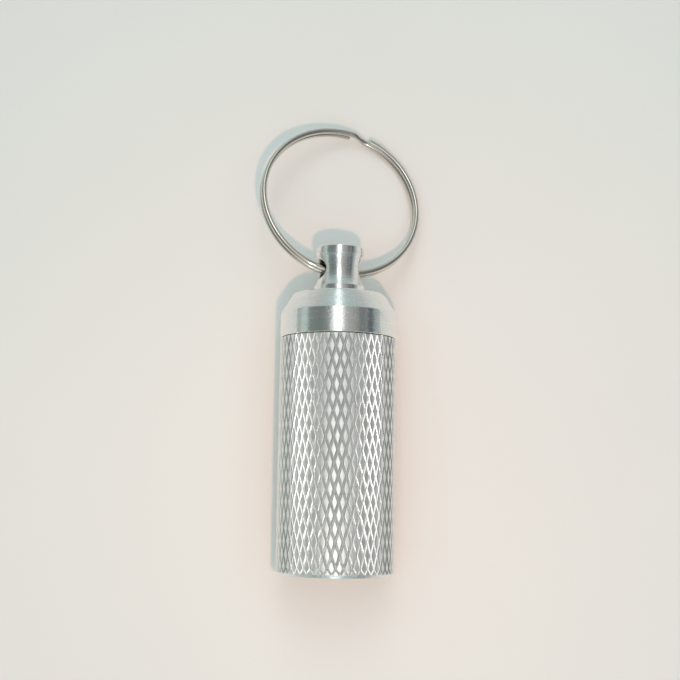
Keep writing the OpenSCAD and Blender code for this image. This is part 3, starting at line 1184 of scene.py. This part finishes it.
@dataclass(frozen=True)
class TurnedMetal:
    """A turned aluminium finish.

    Widths, depths and sizes are in millimetres. What ends in change or roughness is added
    to the plain metal's roughness, apart from groove_roughness, which takes its place. The
    shades and dirts are shares of the dark colour, and the groove's share is painted shade
    with dirt. The painted shade colour is laid over the metal in the seam's gap and the
    cross hole, where shade falls.
    """

    name: str
    colour: Colour
    dark: Colour
    roughness: float
    groove_roughness: float
    worn_change: float
    anisotropy: float
    line_width: float
    line_depth: float
    line_shade: float
    scratch_depth: float
    pit_size: float
    pit_depth: float
    wave_depth: float
    mottle: float
    turned_change: float = 0.0
    ring_shade: float = 0.0
    spread: float = 0.08
    smudge_roughness: float = 0.06
    scratch_roughness: float = 0.1
    # Grooves darken towards their bottoms: painted shade, with dirt.
    groove_shade_and_dirt: float = 0.55
    pit_dirt: float = 0.8
    groove_band: Band = (0.0, 0.3)
    ring_band: Band = (0.35, 0.65)
    mottle_band: Band = (0.5, 0.66)
    # Near-black painted shade for the seam's gap and the cross hole.
    grime: Colour = (0.035, 0.033, 0.03)
    anisotropic_turn: float = 0.25

    def tint(self, wiring: Wiring, found: Found) -> bpy.types.NodeSocket:
        """Colours the metal.

        Args:
            wiring: the material's wiring.
            found: what the node groups put out, by name.

        Returns:
            The colour, darker in grooves with painted shade and dirt, and in rings and pits,
            with painted shade over it in the gaps and the hole.
        """
        turned = wiring.mark(Mark.TURNED)
        mottle = wiring.ramp(found["Waves"], *self.mottle_band, 0.0, self.mottle)
        rings = wiring.ramp(found["Fine"], *self.ring_band, 0.0, self.ring_shade)
        dark_share = wiring.ramp(found["Broad"], *NOISE_BAND, 0.0, self.line_shade)
        for shade in (
            wiring.times(mottle, wiring.less(1.0, turned)),
            wiring.times(rings, turned),
            wiring.times(wiring.mark(Mark.GROOVE), self.groove_shade_and_dirt),
            wiring.times(found["Pits"], self.pit_dirt),
        ):
            dark_share = wiring.larger(dark_share, shade)
        metal = wiring.blend(dark_share, self.colour, self.dark)
        # Painted shade goes over the metal in the gaps and the hole.
        return wiring.blend(wiring.mark(Mark.GRIME), metal, self.grime)

    def dullness(self, wiring: Wiring, found: Found) -> bpy.types.NodeSocket:
        """Works out the roughness.

        Args:
            wiring: the material's wiring.
            found: what the node groups put out, by name.

        Returns:
            The roughness, uneven with the lathe lines, the smudges, the scratches and wear.
        """
        plain = (self.roughness, self.roughness + self.spread)
        rough = wiring.ramp(found["Fine"], *NOISE_BAND, *plain)
        groove_change = self.groove_roughness - self.roughness
        for change in (
            wiring.ramp(wiring.mark(Mark.GROOVE), *self.groove_band, 0.0, groove_change),
            wiring.times(found["Smudges"], self.smudge_roughness),
            wiring.times(found["Scratches"], self.scratch_roughness),
            wiring.times(wiring.mark(Mark.TURNED), self.turned_change),
        ):
            rough = wiring.plus(rough, change)
        worn = wiring.times(wiring.mark(Mark.EDGE), self.worn_change)
        return wiring.math("ADD", rough, worn, clamp=True)

    def relief(self, wiring: Wiring, found: Found) -> bpy.types.NodeSocket:
        """Works out the fine relief.

        Args:
            wiring: the material's wiring.
            found: what the node groups put out, by name.

        Returns:
            The height in metres: lines and waves up, scratches and pits down.
        """
        height = wiring.times(found["Fine"], self.line_depth * MM)
        for name, depth in (("Scratches", self.scratch_depth), ("Pits", self.pit_depth)):
            height = wiring.less(height, wiring.times(found[name], depth * MM))
        swell = wiring.times(found["Waves"], self.wave_depth * MM)
        elsewhere = wiring.less(1.0, wiring.mark(Mark.TURNED))
        return wiring.plus(height, wiring.times(swell, elsewhere))

    def material(self, effects: Effects) -> bpy.types.Material:
        """Builds the material.

        Args:
            effects: the shared node groups.

        Returns:
            The material, metallic throughout, with lathe lines, scratches and pits.
        """
        made, wiring = new_material(self.name)
        lathe = wiring.add("Group", {"Width": self.line_width}, node_tree=effects.lathe)
        handling = wiring.add("Group", {"Pit size": self.pit_size}, node_tree=effects.handling)
        found = dict(lathe.outputs.items()) | dict(handling.outputs.items())
        tangent = wiring.add("Tangent", direction_type="RADIAL", axis="Y")
        wiring.surface(
            {
                "Base Color": self.tint(wiring, found),
                "Metallic": 1.0,
                "Roughness": self.dullness(wiring, found),
                "Normal": wiring.bump(self.relief(wiring, found)),
                "Anisotropic": self.anisotropy,
                "Anisotropic Rotation": self.anisotropic_turn,
                "Tangent": tangent.outputs[0],
            }
        )
        return made


@dataclass(frozen=True)
class PlatedWire:
    """The ring's nickel plating over drawn steel wire. Lengths are in millimetres."""

    name: str = "ring_nickel"
    colour: Colour = (0.72, 0.68, 0.62)
    dark: Colour = (0.40, 0.37, 0.33)
    roughness: float = 0.05
    smudge_roughness: float = 0.12
    scratch_roughness: float = 0.15
    smudge_stain: float = 0.3
    pit_stain: float = 0.7
    scratch_length: float = 1.6
    scratch_depth: float = 0.002
    pit_size: float = 0.35

    def material(self, effects: Effects) -> bpy.types.Material:
        """Builds the material.

        Args:
            effects: the shared node groups.

        Returns:
            The material, polished, with smudges, fine scratches and small pits.
        """
        made, wiring = new_material(self.name)
        sizes = {"Scratch length": self.scratch_length, "Pit size": self.pit_size}
        found = wiring.add("Group", sizes, node_tree=effects.handling).outputs
        smudges = wiring.times(found["Smudges"], self.smudge_stain)
        stain = wiring.larger(smudges, wiring.times(found["Pits"], self.pit_stain))
        rough = wiring.times(found["Smudges"], self.smudge_roughness)
        rough = wiring.plus(rough, self.roughness)
        scored = wiring.times(found["Scratches"], self.scratch_roughness)
        height = wiring.times(found["Scratches"], -self.scratch_depth * MM)
        wiring.surface(
            {
                "Base Color": wiring.blend(stain, self.colour, self.dark),
                "Metallic": 1.0,
                "Roughness": wiring.plus(rough, scored),
                "Normal": wiring.bump(height),
            }
        )
        return made


@dataclass(frozen=True)
class BlackRubber:
    """The seal's matt black rubber."""

    name: str = "seal_rubber"
    colour: Colour = (0.018, 0.018, 0.020)
    dusty: Colour = (0.06, 0.06, 0.058)
    dust_share: float = 0.5
    roughness: Band = (0.5, 0.72)
    grain_scale: float = 9000.0
    grain_depth: float = 0.006

    def material(self, effects: Effects) -> bpy.types.Material:
        """Builds the material.

        Args:
            effects: the shared node groups.

        Returns:
            The material, dark and dull, with a bloom of dust and a fine grain.
        """
        made, wiring = new_material(self.name)
        found = wiring.add("Group", node_tree=effects.handling).outputs
        place = wiring.add("TexCoord").outputs["Object"]
        grain = wiring.noise(place, self.grain_scale, 3.0)
        bloom = wiring.times(found["Smudges"], self.dust_share)
        wiring.surface(
            {
                "Base Color": wiring.blend(bloom, self.colour, self.dusty),
                "Roughness": wiring.ramp(grain, *NOISE_BAND, *self.roughness),
                "Normal": wiring.bump(wiring.times(grain, self.grain_depth * MM)),
            }
        )
        return made


@dataclass(frozen=True)
class Lamp:
    """A round soft lamp that shines on the fob. Its place and its size are in metres."""

    name: str
    place: tuple[float, float, float]
    size: float
    watts: float
    colour: Colour
    mirrored: bool = True
    scattered: bool = True

    def hang(self) -> None:
        """Hangs the lamp, for highlights if mirrored and for dull surfaces if scattered."""
        data = bpy.data.lights.new(self.name, "AREA")
        data.shape = "DISK"
        data.size = self.size
        data.energy = self.watts
        data.color = self.colour
        made = bpy.data.objects.new(self.name, data)
        made.location = self.place
        made.rotation_mode = "QUATERNION"
        made.rotation_quaternion = Vector(self.place).to_track_quat("Z", "Y")
        made.visible_glossy = self.mirrored
        made.visible_diffuse = self.scattered
        made.visible_camera = False
        bpy.context.scene.collection.objects.link(made)


LAMPS = (
    Lamp(
        name="main_lamp",
        place=(0.0085, -0.038, 0.140),
        size=0.006,
        watts=0.064,
        colour=(1.0, 0.53, 0.37),
        mirrored=False,
    ),
    Lamp(
        name="glint_lamp",
        place=(-0.0020, -0.058, 0.140),
        size=0.006,
        watts=0.028,
        colour=(1.0, 0.96, 0.90),
        scattered=False,
    ),
    Lamp(
        name="fill_lamp",
        place=(0.0, 0.0, 0.9),
        size=1.6,
        watts=5.38,
        colour=(0.45, 0.87, 1.0),
        mirrored=False,
    ),
)

# What the metal sees across the fob: how far a direction leans to +x, in degrees, and
# the colour there. The pale stretch in the middle is the soft box, between dark flags.
NEAR_TONES = (
    (-90, (0.33, 0.35, 0.34)),
    (-76, (0.50, 0.60, 0.57)),
    (-66, (0.50, 0.60, 0.57)),
    (-60, (0.20, 0.23, 0.22)),
    (-36, (0.16, 0.19, 0.18)),
    (-20, (0.24, 0.26, 0.26)),
    (-13.5, (0.50, 0.52, 0.52)),
    (-11.5, (1.0, 1.0, 0.98)),
    (6.5, (1.0, 1.0, 0.98)),
    (9.5, (0.50, 0.50, 0.50)),
    (18, (0.42, 0.41, 0.40)),
    (37, (0.30, 0.30, 0.29)),
    (44, (0.18, 0.19, 0.19)),
    (52, (0.16, 0.17, 0.17)),
    (57, (0.30, 0.31, 0.31)),
    (61, (0.10, 0.12, 0.13)),
    (71, (0.10, 0.12, 0.13)),
    (76, (0.33, 0.37, 0.38)),
    (90, (0.38, 0.41, 0.42)),
)
# What it sees along the fob, towards both of its ends.
FAR_TONES = (
    (-90, (0.52, 0.54, 0.52)),
    (-60, (0.44, 0.52, 0.50)),
    (-16, (0.46, 0.60, 0.58)),
    (-10, (1.2, 1.32, 1.32)),
    (9, (1.2, 1.32, 1.32)),
    (15, (0.47, 0.61, 0.59)),
    (60, (0.40, 0.48, 0.47)),
    (90, (0.50, 0.52, 0.51)),
)


@dataclass
class Studio:
    """The floor, the lamps, the surroundings and the camera.

    The floor's sizes and fade are in metres. The far and glow bands are over a direction's
    parts. The camera's place is in millimetres from the closed end on the axis.
    """

    axes: Axes
    floor_half: float = 6.0
    floor_colour: Colour = (0.825, 0.742, 0.690)
    floor_uneven: float = 0.985
    floor_patch_scale: float = 30.0
    floor_roughness: float = 0.7
    floor_specular: float = 0.2
    backdrop: Colour = (0.79, 0.765, 0.71)
    fade_band: Band = (0.09, 0.32)
    far_band: Band = (0.5, 0.8)
    glow_strength: float = 1.7
    glow_lean_band: Band = (0.20, 0.14)
    glow_low_band: Band = (0.24, 0.34)
    glow_high_band: Band = (0.76, 0.62)
    glow_up_band: Band = (0.0, 0.1)
    camera_place: tuple[float, float, float] = (0.2374, 9.505, 187.15)
    camera_tilt: float = math.radians(7.64)
    camera_roll: float = math.radians(0.886)
    focal_px: float = 1266.4
    photo_px: float = 680.0
    sensor_mm: float = 36.0

    def camera(self) -> None:
        """Sets the camera where the photograph was taken from."""
        data = bpy.data.cameras.new("camera")
        data.sensor_width = self.sensor_mm
        data.lens = self.focal_px / self.photo_px * self.sensor_mm
        data.clip_start = 0.01
        data.clip_end = 100.0
        made = bpy.data.objects.new("camera", data)
        place = Vector(self.axes.place(np.array(self.camera_place)))
        made.matrix_world = (
            Matrix.Translation(place)
            @ Matrix.Rotation(self.camera_tilt, 4, "X")
            @ Matrix.Rotation(self.camera_roll, 4, "Z")
        )
        bpy.context.scene.collection.objects.link(made)
        bpy.context.scene.camera = made

    def floor(self) -> None:
        """Lays the pale floor, faintly uneven in tone.

        Far from the fob, what the camera or the metal sees of it fades into the backdrop.
        """
        h = self.floor_half
        points = [(-h, -h, 0.0), (h, -h, 0.0), (h, h, 0.0), (-h, h, 0.0)]
        mesh = bpy.data.meshes.new("floor")
        mesh.from_pydata(points, [], [(0, 1, 2, 3)])
        made = bpy.data.objects.new("floor", mesh)
        bpy.context.scene.collection.objects.link(made)
        material, wiring = new_material("floor")
        place = wiring.add("TexCoord").outputs["Object"]
        patches = wiring.noise(place, self.floor_patch_scale, 2.0)
        share = wiring.ramp(patches, *NOISE_BAND)
        cool = tuple(c * self.floor_uneven for c in self.floor_colour)
        shader = wiring.add(
            "BsdfPrincipled",
            {
                "Base Color": wiring.blend(share, self.floor_colour, cool),
                "Roughness": self.floor_roughness,
                "Specular IOR Level": self.floor_specular,
            },
        )
        radius = wiring.add("VectorMath", {0: place}, operation="LENGTH").outputs["Value"]
        path = wiring.add("LightPath").outputs
        seen = wiring.larger(path["Is Camera Ray"], path["Is Glossy Ray"])
        faded = wiring.times(wiring.ramp(radius, *self.fade_band), seen)
        haze = wiring.add("Emission", {"Color": rgba(self.backdrop), "Strength": 1.0})
        inputs = {0: faded, 1: shader.outputs[0], 2: haze.outputs[0]}
        mixed = wiring.add("MixShader", inputs)
        wiring.add("OutputMaterial", {"Surface": mixed.outputs[0]})
        mesh.materials.append(material)

    def sideways(self, wiring: Wiring, way: Way, tones: tuple[Tone, ...]) -> bpy.types.NodeSocket:
        """Colours the room by the angle at which a direction leans towards x.

        Args:
            wiring: the world's wiring.
            way: the direction's parts.
            tones: the angle in degrees, and the colour there, from -90 to 90.

        Returns:
            The colour ramp over (1 + x / sqrt(x^2 + z^2)) / 2.
        """
        x, z = way["X"], way["Z"]
        flat = wiring.math("SQRT", wiring.plus(wiring.times(x, x), wiring.times(z, z)))
        lean = wiring.math("DIVIDE", x, wiring.larger(flat, TINY))
        ramp = wiring.add("ValToRGB", {0: wiring.ramp(lean, -1.0, 1.0)})
        elements = ramp.color_ramp.elements
        while len(elements) < len(tones):
            elements.new(0.5)
        for element, (angle, colour) in zip(elements, tones):
            element.position = (1 + math.sin(math.radians(angle))) / 2
            element.color = rgba(colour)
        return ramp.outputs[0]

    def glow(self, wiring: Wiring, way: Way) -> bpy.types.NodeSocket:
        """Brightens a strip of the room overhead, towards the cap's end.

        Args:
            wiring: the world's wiring.
            way: the direction's parts.

        Returns:
            The strength times a ramp down over |x| / sqrt(1 - y^2), ramps up and down
            over y, and a ramp up over z.
        """
        x, y, z = way["X"], way["Y"], way["Z"]
        flat = wiring.math("SQRT", wiring.less(1.0, wiring.times(y, y)))
        lean = wiring.math("ABSOLUTE", wiring.math("DIVIDE", x, wiring.larger(flat, TINY)))
        glow = wiring.times(wiring.ramp(lean, *self.glow_lean_band), self.glow_strength)
        for part, band in (
            (y, self.glow_low_band),
            (y, self.glow_high_band),
            (z, self.glow_up_band),
        ):
            glow = wiring.times(glow, wiring.ramp(part, *band))
        return glow

    def surroundings(self) -> None:
        """Gives the metal a room to reflect, and the camera a plain backdrop.

        The near tones pass into the far ones as |y| grows, and the glow is added.
        """
        world = bpy.data.worlds.new("room")
        bpy.context.scene.world = world
        world.use_nodes = True
        wiring = Wiring(world.node_tree)
        direction = wiring.add("TexCoord").outputs["Generated"]
        way = wiring.add("SeparateXYZ", {0: direction}).outputs
        near = self.sideways(wiring, way, NEAR_TONES)
        far = self.sideways(wiring, way, FAR_TONES)
        share = wiring.ramp(wiring.math("ABSOLUTE", way["Y"]), *self.far_band)
        tones = wiring.blend(share, near, far)
        parts = {0: tones, 1: self.glow(wiring, way)}
        lit = wiring.add("VectorMath", parts, operation="ADD").outputs[0]
        room = wiring.add("Background", {"Color": lit, "Strength": 1.0})
        seen = wiring.add("Background", {"Color": rgba(self.backdrop), "Strength": 1.0})
        camera_ray = wiring.add("LightPath").outputs["Is Camera Ray"]
        inputs = {0: camera_ray, 1: room.outputs[0], 2: seen.outputs[0]}
        mixed = wiring.add("MixShader", inputs)
        wiring.add("OutputWorld", {"Surface": mixed.outputs[0]})

    def build(self) -> None:
        """Sets up the whole studio."""
        self.camera()
        self.floor()
        for lamp in LAMPS:
            lamp.hang()
        self.surroundings()
        bpy.context.scene.view_settings.view_transform = "Standard"
        log.info("studio: floor, lamps, surroundings and camera")


TUBE_FINISH = TurnedMetal(
    name="tube_aluminium",
    colour=(0.95, 0.94, 0.92),
    dark=(0.62, 0.63, 0.62),
    roughness=0.40,
    groove_roughness=0.22,
    worn_change=-0.08,
    anisotropy=0.0,
    line_width=0.08,
    line_depth=0.0012,
    line_shade=0.12,
    scratch_depth=0.002,
    pit_size=0.5,
    pit_depth=0.004,
    wave_depth=0.009,
    mottle=0.3,
    turned_change=-0.19,
    ring_shade=0.5,
)
CAP_FINISH = TurnedMetal(
    name="cap_aluminium",
    colour=(0.88, 0.89, 0.88),
    dark=(0.60, 0.62, 0.61),
    roughness=0.18,
    groove_roughness=0.24,
    worn_change=-0.06,
    anisotropy=0.85,
    line_width=0.09,
    line_depth=0.0004,
    line_shade=0.14,
    scratch_depth=0.004,
    pit_size=0.36,
    pit_depth=0.026,
    wave_depth=0.010,
    mottle=0.28,
)


def dress(piece: bpy.types.Object, material: bpy.types.Material) -> None:
    """Gives a piece its one material."""
    piece.data.materials.clear()
    piece.data.materials.append(material)


def main() -> None:
    """Builds the pieces in order, dresses them and lights them."""
    axes = Axes.from_frame()
    fits = Fits()
    effects = Effects(axes)
    parts = (
        (KnurledTube(fits, axes), TUBE_FINISH),
        (TurnedCap(fits, axes), CAP_FINISH),
        (Seal(fits, axes), BlackRubber()),
        (SplitRing(axes), PlatedWire()),
    )
    for part, finish in parts:
        dress(part.build(), finish.material(effects))
    Studio(axes).build()


if __name__ == "__main__":
    main()
